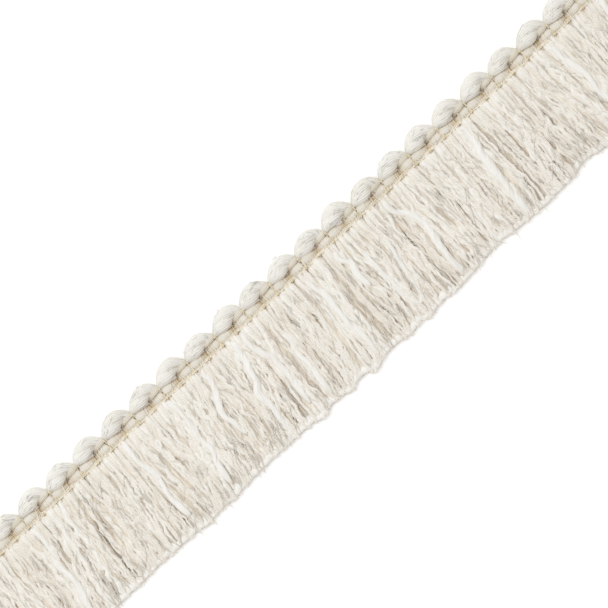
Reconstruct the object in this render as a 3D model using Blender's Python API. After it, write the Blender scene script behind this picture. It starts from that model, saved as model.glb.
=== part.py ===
"""Brush fringe: a cut length of furnishing trim, lying flat with its face up.

The length runs along X, the scalloped edge is on the +Y side, the skirt lies towards -Y, and Z = 0 is the
surface that the trim lies on. The origin is the middle of the flat underside of the root strip, which is
the face that gets sewn or glued down. All sizes are in metres, apart from the tables, which are in
millimetres.

Four pieces, as a trimmings maker makes them:
  brush_skirt     bunches of soft yarn, fused at their roots into the narrow woven strip
  filler_cord     the laid-in yarn over the strip, pinched into two lumps under each scallop
  scallop_cord    the fat two-ply roving that forms the scallops, with half a turn of twist in each
  binding_thread  the fine thread along the strip, with a tie over every pinch
"""

import math

import bmesh
import bpy
import numpy as np

MM = 0.001

SCALLOPS = 25
PITCH = 0.00983                     # length of one scallop along the trim
LENGTH = SCALLOPS * PITCH

STRIP_BACK_Y = 0.00160              # edge of the root strip under the scallops
WALL_BACK_Y = -0.00055              # the strip stands taller from here to its front
STRIP_FRONT_Y = -0.00130            # the bunches of the skirt leave the strip here
STRIP_LOW_Z = 0.00120
STRIP_HIGH_Z = 0.00360

SKIRT_END_Y = -0.03125              # mean line of the skirt's lower edge
LOCKS_PER_SCALLOP = 6
LOCK_STATIONS = (0.05, 0.38, 0.72)  # where a bunch has a section, as shares of the skirt's depth
LOCK_GAP_ROOT = 0.00024             # free space between two bunches of a row
LOCK_GAP_TIP = 0.00032
LOCK_TOP_WIDTH = 0.82               # an upper bunch is this much narrower on top than below
TIP_SHRINK = 0.70                   # a bunch's end is drawn in to this share of its width
TIP_SPREAD = 0.00040                # most that an end stands past the lower edge, or short of it, by chance
LOCK_SEED = 7

ROW_SPLIT_Z = 0.00180               # height where the lower row of bunches meets the upper one at the roots
ROW_GAP = 0.00030                   # free space between the two rows
SKIRT_TOP_Z = 0.00390               # top of the upper row at its roots
SKIRT_TIP_Z = 0.00310               # and at its ends
CROWN = 0.00022                     # most that a bunch stands above its neighbours by chance
SLUB_CROWN = 0.00045                # what a thick slub yarn adds to that
ROOT_PUFF = 0.00045                 # the bunches swell up by this much at their roots, between two ties

WAVE = 0.00024                      # the yarns wander by this much to each side
WAVES_PER_DEPTH = 1.6
WAVE_DRIFT = 0.0034                 # length along the trim in which the wave shifts by one radian

# Where the upper bunches lean: tip is how far their ends lie from their roots, along X.
LEANS = (
    # x, tip
    (-123.0, -0.6),
    (-105.0, -1.5),
    (-90.0, -4.4),
    (-82.0, -4.6),
    (-70.0, -2.8),
    (-58.0, -0.6),
    (-47.0, -2.0),
    (-38.0, -3.6),
    (-30.0, -2.4),
    (-23.5, -3.4),
    (-17.0, -0.8),
    (-11.0, -1.9),
    (-4.0, -2.9),
    (3.4, -0.4),
    (11.0, -1.5),
    (18.4, 0.3),
    (27.0, -1.6),
    (34.0, -0.4),
    (45.0, 0.2),
    (58.8, -0.8),
    (67.0, 1.2),
    (76.0, 0.4),
    (84.0, 3.2),
    (97.0, 0.6),
    (110.0, -1.2),
    (123.0, -0.6),
)
LOWER_ROW_LEAN = 0.45               # the lower row leans less, by this share
LOWER_ROW_SHIFT = 0.0050            # and its leans lie this far along from those of the upper row

# Thick soft slub yarns in the upper row: reach is how far to each side of x one pushes its neighbours.
SLUBS = (
    # x, reach
    (-94.0, 1.8),
    (-60.5, 1.8),
    (-22.0, 2.2),
    (-17.5, 1.9),
    (3.4, 2.1),
    (33.0, 2.2),
    (58.6, 2.3),
    (90.0, 1.8),
    (108.0, 1.9),
)
SLUB_SWELL = 0.26                   # how much wider a slub is than a plain bunch
SLUB_CROWN_REACH = 0.9              # in mm, so that only the bunch nearest to a slub is raised in full

# Where the lower edge swells out or draws in: past is how far it stands past its mean line.
EDGE_SWELLS = (
    # x, half_width, past
    (-111.0, 3.5, 0.6),
    (-75.0, 5.0, -0.3),
    (-58.8, 3.0, 0.8),
    (-49.4, 3.0, 0.6),
    (-34.0, 5.0, -0.2),
    (-18.3, 2.4, 1.0),
    (-8.3, 2.0, 0.9),
    (0.9, 2.2, 1.3),
    (13.5, 2.2, 0.8),
    (20.7, 2.2, 0.8),
    (31.1, 3.6, 0.5),
    (45.8, 6.0, -1.0),
    (61.9, 2.2, 0.3),
    (76.9, 4.0, -1.3),
    (98.0, 4.0, 0.5),
)

CORD_LOW_Y = 0.00195                # straight lower side of the scallop cord
CORD_NOTCH_Y = 0.00375              # its outer side in the notch between two scallops
CORD_CREST_Y = 0.00665              # its outer side at the top of a scallop
CORD_MID_Z = 0.00240
CORD_TIE_HEIGHT = 0.00105           # half height where a tie pinches it
CORD_FULL_HEIGHT = 0.00215          # half height at the fat of a scallop
CREST_SHARPNESS = 0.62              # under 1 makes round scallops with sharp notches
CORD_GROOVE = 0.26                  # depth of the groove between the two plies, as a share of the radius
CORD_STATIONS = 7                   # sections in each scallop
CORD_SIDES = 10

FILLER_Y = 0.00070
FILLER_Z = 0.00252
FILLER_HALF_WIDTH = 0.00095
FILLER_HALF_HEIGHT = 0.00100
FILLER_PINCH = 0.70                 # size at a tie, as a share of the full size
LUMPS_PER_SCALLOP = 2
LUMP_STATIONS = 3
FILLER_SIDES = 6

THREAD_LOW_Y = -0.00125             # the thread along the strip
THREAD_HIGH_Y = -0.00060
THREAD_BASE_Z = STRIP_HIGH_Z + 0.0003
THREAD_THICK = 0.00045
TIE_WIDTH = 0.00060
TIE_THICK = 0.00040
TIE_OVER_FILLER_Z = 0.00362         # underside of a tie over the laid-in yarn
TIE_OVER_CORD_Z = 0.00390           # and over the pinched scallop cord
FILLER_TIE_Y = 0.00150              # a tie under a scallop stops here, at its eye
CORD_TIE_Y = 0.00340                # a tie between two scallops reaches on to here


def clear_scene():
    """Removes whatever the file holds, so that only the fringe is left."""
    for thing in list(bpy.data.objects):
        bpy.data.objects.remove(thing)


def fabric(name, colour, roughness):
    """A plain matt yarn material."""
    material = bpy.data.materials.new(name)
    material.use_nodes = True
    shader = material.node_tree.nodes["Principled BSDF"]
    shader.inputs["Base Color"].default_value = (*colour, 1.0)
    shader.inputs["Roughness"].default_value = roughness
    shader.inputs["Metallic"].default_value = 0.0
    return material


def finish(name, bm, material, smooth):
    """Turns a finished bmesh into a named object with its faces pointing out."""
    bmesh.ops.recalc_face_normals(bm, faces=bm.faces)
    mesh = bpy.data.meshes.new(name)
    bm.to_mesh(mesh)
    bm.free()
    mesh.materials.append(material)
    if smooth:
        mesh.shade_smooth()
    thing = bpy.data.objects.new(name, mesh)
    bpy.context.scene.collection.objects.link(thing)
    return thing


def along_trim(count):
    """Places from one cut end of the trim to the other, count steps apart."""
    return np.linspace(-LENGTH / 2, LENGTH / 2, count + 1)


def ease_between(stations, x):
    """The value at x between the rows of a table of (place, value), eased so that it has no corners."""
    for (x0, value0), (x1, value1) in zip(stations, stations[1:]):
        if x <= x1 * MM:
            share = max(0.0, (x / MM - x0) / (x1 - x0))
            return MM * (value0 + (value1 - value0) * (1 - math.cos(math.pi * share)) / 2)
    return MM * stations[-1][1]


def bump(x, middle_mm, reach_mm):
    """1 at the middle of a bump, falling to nothing a little past its reach."""
    return math.exp(-(((x / MM - middle_mm) / reach_mm) ** 2))


def loft(bm, rings):
    """Joins equal rings of points into one closed tube with flat ends."""
    loops = [[bm.verts.new(point) for point in ring] for ring in rings]
    sides = len(loops[0])
    for here, there in zip(loops, loops[1:]):
        for k in range(sides):
            after = (k + 1) % sides
            bm.faces.new((here[k], here[after], there[after], there[k]))
    bm.faces.new(loops[0])
    bm.faces.new(loops[-1])


def scallop_ring(x):
    """One section of the two-ply roving: an ellipse with two grooves, turned half round in each scallop."""
    phase = (x + LENGTH / 2) / PITCH
    shape = abs(math.sin(math.pi * phase)) ** CREST_SHARPNESS
    outer = CORD_NOTCH_Y + (CORD_CREST_Y - CORD_NOTCH_Y) * shape
    middle = (outer + CORD_LOW_Y) / 2
    half_width = (outer - CORD_LOW_Y) / 2
    half_height = CORD_TIE_HEIGHT + (CORD_FULL_HEIGHT - CORD_TIE_HEIGHT) * shape
    ply_angle = math.pi / 2 + math.pi * phase
    ring = []
    for k in range(CORD_SIDES):
        angle = 2 * math.pi * k / CORD_SIDES
        radius = 1 - CORD_GROOVE * math.sin(angle - ply_angle) ** 4
        ring.append((
            x,
            middle + half_width * radius * math.cos(angle),
            CORD_MID_Z + half_height * radius * math.sin(angle),
        ))
    return ring


def scallop_cord(material):
    """The scalloped roving, from one cut end of the trim to the other."""
    bm = bmesh.new()
    loft(bm, [scallop_ring(x) for x in along_trim(SCALLOPS * CORD_STATIONS)])
    return finish("scallop_cord", bm, material, smooth=True)


def filler_ring(x):
    """One section of the laid-in yarn, narrow at each tie and full between them."""
    phase = (x + LENGTH / 2) / PITCH * LUMPS_PER_SCALLOP
    size = FILLER_PINCH + (1 - FILLER_PINCH) * abs(math.sin(math.pi * phase))
    ring = []
    for k in range(FILLER_SIDES):
        angle = 2 * math.pi * k / FILLER_SIDES
        ring.append((
            x,
            FILLER_Y + FILLER_HALF_WIDTH * size * math.cos(angle),
            FILLER_Z + FILLER_HALF_HEIGHT * size * math.sin(angle),
        ))
    return ring


def filler_cord(material):
    """The laid-in yarn, two lumps to a scallop."""
    bm = bmesh.new()
    loft(bm, [filler_ring(x) for x in along_trim(SCALLOPS * LUMPS_PER_SCALLOP * LUMP_STATIONS)])
    return finish("filler_cord", bm, material, smooth=True)


def root_strip(bm):
    """The woven strip, an L in section. Returns its front faces, one for each bunch, as [row][column]."""
    columns = SCALLOPS * LOCKS_PER_SCALLOP
    heights = (0.0, ROW_SPLIT_Z, STRIP_HIGH_Z)
    front = [[bm.verts.new((x, STRIP_FRONT_Y, z)) for x in along_trim(columns)] for z in heights]
    profile = (
        (WALL_BACK_Y, STRIP_HIGH_Z),
        (WALL_BACK_Y, STRIP_LOW_Z),
        (STRIP_BACK_Y, STRIP_LOW_Z),
        (STRIP_BACK_Y, 0.0),
    )
    back = [[bm.verts.new((x, y, z)) for x in along_trim(SCALLOPS)] for y, z in profile]
    for n in range(SCALLOPS):
        span = slice(n * LOCKS_PER_SCALLOP, (n + 1) * LOCKS_PER_SCALLOP + 1)
        bm.faces.new([*front[-1][span], back[0][n + 1], back[0][n]])
        bm.faces.new([*front[0][span], back[-1][n + 1], back[-1][n]])
        for upper, lower in zip(back, back[1:]):
            bm.faces.new((upper[n], upper[n + 1], lower[n + 1], lower[n]))
    for end in (0, -1):
        bm.faces.new([row[end] for row in front] + [row[end] for row in back])
    return [
        [bm.faces.new((low[c], low[c + 1], high[c + 1], high[c])) for c in range(columns)]
        for low, high in zip(front, front[1:])
    ]


def swept_x(x, y, is_upper):
    """Where a yarn rooted at x has come to at y: its lean, its wave and the push of the slubs near it."""
    share = (STRIP_FRONT_Y - y) / (STRIP_FRONT_Y - SKIRT_END_Y)
    turn = x / WAVE_DRIFT if is_upper else x / WAVE_DRIFT + 2.0
    wave = WAVE * math.sin(2 * math.pi * WAVES_PER_DEPTH * share + turn) * min(1.0, 2 * share)
    if not is_upper:
        return x + LOWER_ROW_LEAN * ease_between(LEANS, x + LOWER_ROW_SHIFT) * share + wave
    push = sum(SLUB_SWELL * (x - middle * MM) * bump(x, middle, reach) for middle, reach in SLUBS)
    return x + ease_between(LEANS, x) * share + wave + push * min(1.0, 5 * share)


def lower_edge(x):
    """The skirt's lower edge at x, with its swells."""
    swell = sum(past * bump(x, middle, half_width) for middle, half_width, past in EDGE_SWELLS)
    return SKIRT_END_Y - MM * swell


def lock_sections(x0, x1, is_upper, draw):
    """The sections of the bunch that is rooted from x0 to x1, as (y, low x, high x, low z, high z)."""
    middle = (x0 + x1) / 2
    depth = STRIP_FRONT_Y - SKIRT_END_Y
    tip_y = lower_edge(swept_x(middle, SKIRT_END_Y, is_upper)) + TIP_SPREAD * draw.uniform(-1, 1)
    slub = SLUB_CROWN * max(bump(middle, slub_x, SLUB_CROWN_REACH) for slub_x, _ in SLUBS)
    between_ties = abs(math.sin(math.pi * LUMPS_PER_SCALLOP * (middle + LENGTH / 2) / PITCH))
    low_z = ROW_SPLIT_Z + ROW_GAP / 2 if is_upper else 0.0
    sections = []
    for station, y in enumerate((*(STRIP_FRONT_Y - depth * share for share in LOCK_STATIONS), tip_y)):
        share = (STRIP_FRONT_Y - y) / depth
        gap = LOCK_GAP_ROOT + (LOCK_GAP_TIP - LOCK_GAP_ROOT) * share
        low_x = swept_x(x0, y, is_upper) + gap / 2
        high_x = swept_x(x1, y, is_upper) - gap / 2
        if station == len(LOCK_STATIONS):
            drawn_in = (1 - TIP_SHRINK) * (high_x - low_x) / 2
            low_x += drawn_in
            high_x -= drawn_in
        high_z = ROW_SPLIT_Z - ROW_GAP / 2
        if is_upper:
            high_z = SKIRT_TOP_Z + (SKIRT_TIP_Z - SKIRT_TOP_Z) * share + CROWN * draw.uniform(-1, 1) + slub
        if is_upper and station == 0:
            high_z += ROOT_PUFF * between_ties
        sections.append((y, low_x, high_x, low_z, high_z))
    return sections


def grow_lock(bm, root, sections, top_width):
    """Extrudes one root face through its sections, each narrower on top by the share top_width."""
    face = root
    for y, low_x, high_x, low_z, high_z in sections:
        face = bmesh.ops.extrude_discrete_faces(bm, faces=[face])["faces"][0]
        old_x = sum(vert.co.x for vert in face.verts) / 4
        old_z = sum(vert.co.z for vert in face.verts) / 4
        middle_x = (low_x + high_x) / 2
        for vert in face.verts:
            is_top = vert.co.z > old_z
            x = high_x if vert.co.x > old_x else low_x
            if is_top:
                x = middle_x + (x - middle_x) * top_width
            vert.co = (x, y, high_z if is_top else low_z)


def brush_skirt(material):
    """The strip and its two rows of bunches, which stand apart but for their roots."""
    bm = bmesh.new()
    draw = np.random.default_rng(LOCK_SEED)
    edges = along_trim(SCALLOPS * LOCKS_PER_SCALLOP)
    for roots, is_upper in zip(root_strip(bm), (False, True)):
        for root, x0, x1 in zip(roots, edges, edges[1:]):
            grow_lock(bm, root, lock_sections(x0, x1, is_upper, draw), LOCK_TOP_WIDTH if is_upper else 1.0)
    return finish("brush_skirt", bm, material, smooth=False)


def grow_tie(bm, root, is_long):
    """Extrudes one tie from the thread's edge over the laid-in yarn, and a long one over the cord too."""
    sections = [(0.0, TIE_OVER_FILLER_Z), (FILLER_TIE_Y, TIE_OVER_FILLER_Z)]
    if is_long:
        sections.append((CORD_TIE_Y, TIE_OVER_CORD_Z))
    face = root
    for y, low_z in sections:
        face = bmesh.ops.extrude_discrete_faces(bm, faces=[face])["faces"][0]
        old_z = sum(vert.co.z for vert in face.verts) / 4
        for vert in face.verts:
            vert.co = (vert.co.x, y, low_z + TIE_THICK if vert.co.z > old_z else low_z)


def binding_thread(material):
    """The thread along the strip and its ties: long ones between the scallops, short ones under them."""
    bm = bmesh.new()
    places = along_trim(SCALLOPS * LUMPS_PER_SCALLOP)[1:-1]
    edges = [-LENGTH / 2, *(x + side * TIE_WIDTH / 2 for x in places for side in (-1, 1)), LENGTH / 2]
    corners = (
        (THREAD_LOW_Y, THREAD_BASE_Z),
        (THREAD_LOW_Y, THREAD_BASE_Z + THREAD_THICK),
        (THREAD_HIGH_Y, THREAD_BASE_Z + THREAD_THICK),
        (THREAD_HIGH_Y, THREAD_BASE_Z),
    )
    loops = [[bm.verts.new((x, y, z)) for y, z in corners] for x in edges]
    bm.faces.new(loops[0])
    bm.faces.new(loops[-1])
    inner_edge = 2                  # the side of a stretch that faces the scallops
    for n, (here, there) in enumerate(zip(loops, loops[1:])):
        sides = [bm.faces.new((here[k], here[(k + 1) % 4], there[(k + 1) % 4], there[k])) for k in range(4)]
        tie, is_tie = divmod(n, 2)
        if is_tie:
            grow_tie(bm, sides[inner_edge], is_long=(tie + 1) % LUMPS_PER_SCALLOP == 0)
    return finish("binding_thread", bm, material, smooth=False)


def main():
    clear_scene()
    cotton = fabric("natural_cotton", (0.87, 0.84, 0.77), 0.90)
    wool = fabric("soft_roving", (0.84, 0.83, 0.79), 0.95)
    laid_yarn = fabric("laid_yarn", (0.80, 0.78, 0.72), 0.92)
    thread = fabric("ochre_thread", (0.62, 0.50, 0.30), 0.75)
    brush_skirt(cotton)
    filler_cord(laid_yarn)
    scallop_cord(wool)
    binding_thread(thread)


main()
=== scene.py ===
"""Brush fringe, face up on a pale table: the finish of every yarn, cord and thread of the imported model.

The trim runs along X, with its scallops towards +Y and its skirt towards -Y. Lengths are in metres unless a
name or a note says otherwise, but the tables of shapes and places are in millimetres. LEANS and EDGE_SWELLS
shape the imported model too.
"""

import math

import bpy
import numpy as np
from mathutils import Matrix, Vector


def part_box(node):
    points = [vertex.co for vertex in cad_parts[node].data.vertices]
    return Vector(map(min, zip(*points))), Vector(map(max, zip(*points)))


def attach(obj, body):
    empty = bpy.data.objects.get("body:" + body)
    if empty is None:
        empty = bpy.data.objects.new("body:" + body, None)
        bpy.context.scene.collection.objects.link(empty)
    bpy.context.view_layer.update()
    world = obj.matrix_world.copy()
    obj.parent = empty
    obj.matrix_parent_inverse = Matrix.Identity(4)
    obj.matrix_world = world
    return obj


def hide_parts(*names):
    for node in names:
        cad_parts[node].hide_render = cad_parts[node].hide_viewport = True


MM = 0.001
SEED = 11  # of the one stream of chance numbers that the pieces draw from in turn

# The picture
PICTURE_ANGLE = 43.2  # degrees from the picture's level up to the trim's +X
PICTURE_MIDDLE = (-0.00186, -0.00711, 0.002)
PICTURE_SPAN = 0.1577  # width of what the camera sees at that height
CAMERA_HEIGHT = 1.6
SENSOR = 36.0  # width of the camera's sensor, in millimetres

# The light
ROOM_COLOUR = (1.0, 0.961, 0.906)
ROOM_STRENGTH = 0.67
KEY_COLOUR = (0.93, 0.985, 1.0)
KEY_DIRECTION = (-0.22, 0.50, 1.15)
KEY_DISTANCE = 1.2
KEY_SIZE = 0.7
KEY_POWER = 7.4

# The table
TABLE_REACH = 3.0
TABLE_GREY = 0.75
TABLE_GLOW = 0.32

# The heading
SCALLOPS = 25
TIES_PER_SCALLOP = 2
WRAPS_PER_SCALLOP = 11
RIBS_PER_SCALLOP = 12
NOMINAL_PITCH = 0.00983  # length of one scallop in the routes below
HEADING_SHADE_TOP = ((1.8, 3.6), (4.2, 2.6))  # y and height of the surface under which the cords take painted shade, by the strip and by the crests
HEADING_SHADE_REACH = 1.65  # how far below that surface the painted shade on the cords is darkest, in millimetres

# The two plies of one scallop, from its left tie to its right one
FRONT_PLY = (
    # x, y, z, radius
    (0.25, 2.60, 2.75, 0.72),
    (0.95, 2.95, 2.85, 1.12),
    (2.10, 3.25, 2.90, 1.62),
    (3.60, 3.35, 2.82, 1.85),
    (4.90, 3.45, 2.50, 1.62),
    (6.10, 3.50, 2.10, 1.25),
    (7.80, 3.10, 1.55, 0.95),
    (9.70, 2.60, 1.45, 0.65),
)
CREST_PLY = (
    # x, y, z, radius
    (0.30, 2.60, 1.90, 0.70),
    (0.95, 3.20, 2.15, 0.95),
    (1.75, 3.90, 2.40, 1.22),
    (2.90, 4.50, 2.62, 1.58),
    (4.40, 4.92, 2.78, 1.80),
    (5.70, 5.06, 2.80, 1.80),
    (6.75, 4.90, 2.75, 1.62),
    (7.70, 4.40, 2.72, 1.38),
    (8.45, 3.75, 2.72, 1.14),
    (9.15, 3.10, 2.72, 0.92),
    (9.70, 2.62, 2.70, 0.74),
)

# The bundle that comes out of the eye and widens to the right tie
FAN_PLY = (
    # x, y, z, radius
    (5.40, 1.90, 1.60, 0.30),
    (6.40, 2.12, 2.20, 0.52),
    (7.30, 2.42, 2.72, 0.80),
    (8.30, 2.76, 2.98, 1.02),
    (9.20, 2.96, 2.92, 1.00),
    (9.75, 2.95, 2.74, 0.74),
)

# The laid-in yarn of one scallop: two lumps, the first of which sinks under the eye
LEFT_LUMP = (
    # x, y, z, radius
    (0.15, 1.06, 2.78, 1.06),
    (0.90, 0.84, 2.84, 1.21),
    (2.10, 0.72, 2.62, 1.24),
    (3.50, 0.60, 2.03, 1.08),
    (4.85, 0.58, 1.50, 0.78),
)
RIGHT_LUMP = (
    # x, y, z, radius
    (5.20, 0.50, 1.40, 0.66),
    (6.20, 0.52, 1.88, 0.87),
    (7.40, 0.62, 2.54, 1.17),
    (8.90, 0.76, 2.73, 1.20),
    (9.70, 1.02, 2.72, 1.04),
)
LAY = 0.045  # length in which the ridges of these bundles turn once round
RIDGE = 0.035  # depth of the dips between them, as a share of the radius

# Outlines across the heading, as (y, z). Long ties lie between two scallops, short ones in their middles.
LONG_TIE = (
    (-1.00, 2.20), (-0.95, 3.60), (-0.50, 4.10), (0.30, 3.95), (1.10, 3.72), (1.90, 3.45), (2.60, 3.58),
    (3.30, 3.10), (3.42, 2.20), (3.10, 1.00), (1.90, 0.35), (0.20, 0.26), (-0.80, 0.32), (-1.00, 2.20),
)
SHORT_TIE = (
    (-1.00, 2.20), (-0.95, 3.60), (-0.50, 4.06), (0.20, 3.45), (0.90, 2.95), (1.45, 2.30),
    (1.50, 1.20), (1.30, 0.35), (0.20, 0.26), (-0.80, 0.32), (-1.00, 2.20),
)
WRAP_ARCH = ((-0.70, 3.60), (-0.35, 4.05), (0.30, 4.02), (1.00, 3.98), (1.70, 3.55), (2.00, 2.70))
STRIP_SECTION = (
    (-1.25, 0.05), (-1.30, 1.80), (-1.15, 3.00), (-0.75, 3.45), (-0.20, 3.45), (0.10, 3.00),
    (0.20, 1.50), (1.40, 1.14), (1.58, 0.90), (1.58, 0.25), (1.42, 0.05), (0.10, 0.02),
)

# Places across the heading, as (y, z)
KNOTS = ((-0.60, 4.12), (2.45, 3.62))  # on the selvedge at each tie, and on the cord at the long ones
SELVEDGE = ((-0.14, 3.34), (-0.54, 3.68))

# The threads: radii and other ranges run from least to most, in millimetres.
TIE_THREAD = (0.09, 0.13)
TIE_STATIONS = 34
TIE_SPACING = 0.30  # between the two wraps of a tie
TIE_STRAY = 0.12
TIE_SLANT = 0.30
WRAP_THREAD = (0.08, 0.13)
WRAP_DROP = (0.0, 0.2)  # how much lower than its arch a wrap may lie
KNOT_THICKNESS = (0.22, 0.30)
KNOT_HALF_LENGTH = (0.30, 0.45)
SELVEDGE_THREAD = 0.30
RIB_DEPTH = 0.035  # of the ribs in the strip, as a share of its section

# Stray fibres on each ply of a scallop, in millimetres
FUZZ_FIBRES = 16
FUZZ_THREAD = (0.02, 0.04)
FUZZ_HALF_LENGTH = (0.4, 1.3)
FUZZ_LIFT = (0.02, 0.35)
FUZZ_SIDE = (-0.5, 1.9)  # where on the ply, in radians from its top towards the crests

# The skirt
ROOT_Y = -0.00040  # the yarns leave the strip here, under the selvedge threads
EDGE_Y = -0.03125  # mean line of the lower edge
END_INSET = 0.0006  # room at the cut ends
SKIRT_FACE = 0.0003  # how high the yarns' crests stand over the skirt's height
SKIRT_SHADE_REACH = 0.85  # how far below their crests the yarns' warm painted shade is deepest, in millimetres
BUNCH_SEED = 5  # of the bunches' leans

# Heights in the skirt, in millimetres
ROOT_HEIGHT = 3.55  # of its upper surface
SKIRT_FALL = 0.55  # from the roots to the edge
EDGE_FALL = 1.25  # close to the edge, on top of that
ROOT_PUFF = 0.38  # how far the middle of a bunch stands up just below the heading
ROOT_TUCK = 0.70  # how far the yarns dive in at their roots

# Where the yarns lean: tip is how far their ends lie from their roots, along the trim.
LEANS = (
    # x, tip
    (-123.0, -0.6),
    (-105.0, -1.5),
    (-90.0, -4.4),
    (-82.0, -4.6),
    (-70.0, -2.8),
    (-58.0, -0.6),
    (-47.0, -2.0),
    (-38.0, -3.6),
    (-30.0, -2.4),
    (-23.5, -3.4),
    (-17.0, -0.8),
    (-11.0, -1.9),
    (-4.0, -2.9),
    (3.4, -0.4),
    (11.0, -1.5),
    (18.4, 0.3),
    (27.0, -1.6),
    (34.0, -0.4),
    (45.0, 0.2),
    (58.8, -0.8),
    (67.0, 1.2),
    (76.0, 0.4),
    (84.0, 3.2),
    (97.0, 0.6),
    (110.0, -1.2),
    (123.0, -0.6),
)

# How neighbouring yarns sway together: waves over the skirt, in millimetres along the trim.
SWAYS = (
    # size, length, count down the skirt, start
    (0.50, 23.0, 0.6, 0.10),
    (0.26, 11.0, -0.9, 0.45),
    (0.11, 6.3, 1.3, 0.80),
    (0.08, 7.7, 5.6, 0.30),
    (0.05, 4.3, -7.9, 0.55),
    (0.04, 3.7, -2.1, 0.25),
)

# How the yarns' tone changes along the trim: size is a share of the whole range from dark to light.
TONE_WAVES = (
    # size, length, start
    (0.30, 21.7, 0.20),
    (0.28, 10.3, 0.60),
    (0.16, 5.6, 0.10),
)

# Where the lower edge swells out or draws in: past is how far it stands past its mean line.
EDGE_SWELLS = (
    # x, half_width, past
    (-111.0, 3.5, 0.6),
    (-75.0, 5.0, -0.3),
    (-58.8, 3.0, 0.8),
    (-49.4, 3.0, 0.6),
    (-34.0, 5.0, -0.2),
    (-18.3, 2.4, 1.0),
    (-8.3, 2.0, 0.9),
    (0.9, 2.2, 1.3),
    (13.5, 2.2, 0.8),
    (20.7, 2.2, 0.8),
    (31.1, 3.6, 0.5),
    (45.8, 6.0, -1.0),
    (61.9, 2.2, 0.3),
    (76.9, 4.0, -1.3),
    (98.0, 4.0, 0.5),
)

# The felted edge: its section as (past the lower edge, z), and its low waves. Slant is the part of a wave
# between two corners of the section.
EDGE_SECTION = (
    (0.00, 1.00), (0.07, 1.45), (0.26, 1.83), (0.62, 2.12), (1.15, 2.26), (1.75, 2.24),
    (2.35, 2.05), (2.90, 1.60), (2.60, 1.00), (1.50, 0.65), (0.60, 0.50), (0.12, 0.62),
)
EDGE_RIPPLES = (
    # size, length, slant
    (0.10, 4.7, 0.03),
    (0.07, 2.3, -0.05),
    (0.05, 1.13, 0.04),
    (0.03, 0.74, -0.03),
)
EDGE_STATIONS = 900
EDGE_INSET = 0.0003
EDGE_FLOOR = 0.0003  # no part of the roll lies lower
EDGE_SHADE_TOP = 0.0019  # height from which its painted shade counts
EDGE_SHADE_REACH = 0.9  # how far below that its painted shadow is darkest, in millimetres

# Small holes where the yarns part: x is the place at the hole, share how far down the skirt it is.
PARTINGS = (
    # x, share, opening
    (-45.7, 0.58, 0.40),
    (-42.3, 0.24, 0.30),
    (-27.8, 0.78, 0.45),
    (-23.4, 0.73, 0.40),
    (-14.5, 0.35, 0.30),
    (-10.1, 0.23, 0.30),
    (-1.8, 0.75, 0.50),
    (2.3, 0.33, 0.40),
    (6.2, 0.38, 0.30),
    (21.5, 0.75, 0.60),
    (40.5, 0.62, 0.45),
    (52.0, 0.30, 0.35),
    (66.4, 0.72, 0.50),
    (-62.5, 0.70, 0.45),
    (-78.0, 0.45, 0.40),
)
HOLE_HALF_WIDTH = 0.65  # in millimetres
HOLE_HALF_HEIGHT = 0.035  # as a share of the skirt's depth
HOLE_PUSH = 2.33  # makes the furthest push as great as the opening

# The looped yarns, from the inside of the skirt out, each with its finish. A range runs from least to most.
# Stout is the thickness as a share of the radius, and beads how much it varies along a yarn. Stations are the
# points on the way down, round the turn and back, and waves are rows of (size, count down the skirt).
FINE_YARN = 0.46  # radius of a fine two-ply yarn, in millimetres
FINE_LOOPS = dict(count=152, radius=FINE_YARN, stout=(0.8, 1.2), beads=0.12, sides=6, stations=(60, 5, 9))
LOOPS = {
    "under_loops": ("inner_cotton", dict(
        count=320, radius=0.66, sides=5, stations=(20, 5, 6), depth=(0.35, 0.70), stray=0.6,
        waves=((0.18, 1.3), (0.12, 4.1)), loop_width=(0.9, 1.5), shortfall=(0.8, 1.4))),
    "fine_loops_a": ("fine_cotton", dict(
        **FINE_LOOPS, depth=(0.0, 0.18), stray=0.9,
        waves=((0.22, 1.9), (0.13, 5.8), (0.08, 17.0)), loop_width=(0.9, 1.7), shortfall=(0.0, 0.7))),
    "fine_loops_b": ("fine_cotton", dict(
        **FINE_LOOPS, depth=(-0.06, 0.16), stray=1.1,
        waves=((0.24, 1.6), (0.14, 5.1), (0.08, 15.2)), loop_width=(0.9, 1.9), shortfall=(-0.1, 0.5))),
    "fine_loops_c": ("fine_cotton", dict(
        **FINE_LOOPS, depth=(0.04, 0.26), stray=1.0,
        waves=((0.22, 1.4), (0.12, 4.4), (0.08, 18.0)), loop_width=(0.9, 1.6), shortfall=(0.4, 0.8))),
    "soft_loops": ("soft_cotton", dict(
        count=78, radius=0.62, stout=(0.80, 1.25), beads=0.14, sides=8, stations=(54, 7, 12),
        depth=(-0.10, 0.40), stray=1.1,
        waves=((0.42, 1.7), (0.28, 6.0)), loop_width=(1.2, 2.2), shortfall=(0.4, 0.9))),
}
HEIGHT_WAVES = ((0.12, 3.6), (0.06, 7.6), (0.04, 14.5))
BEAD_WAVES = ((1.0, 15), (0.8, 34))  # the size as a share of the beads, and the count along a whole loop

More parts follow.
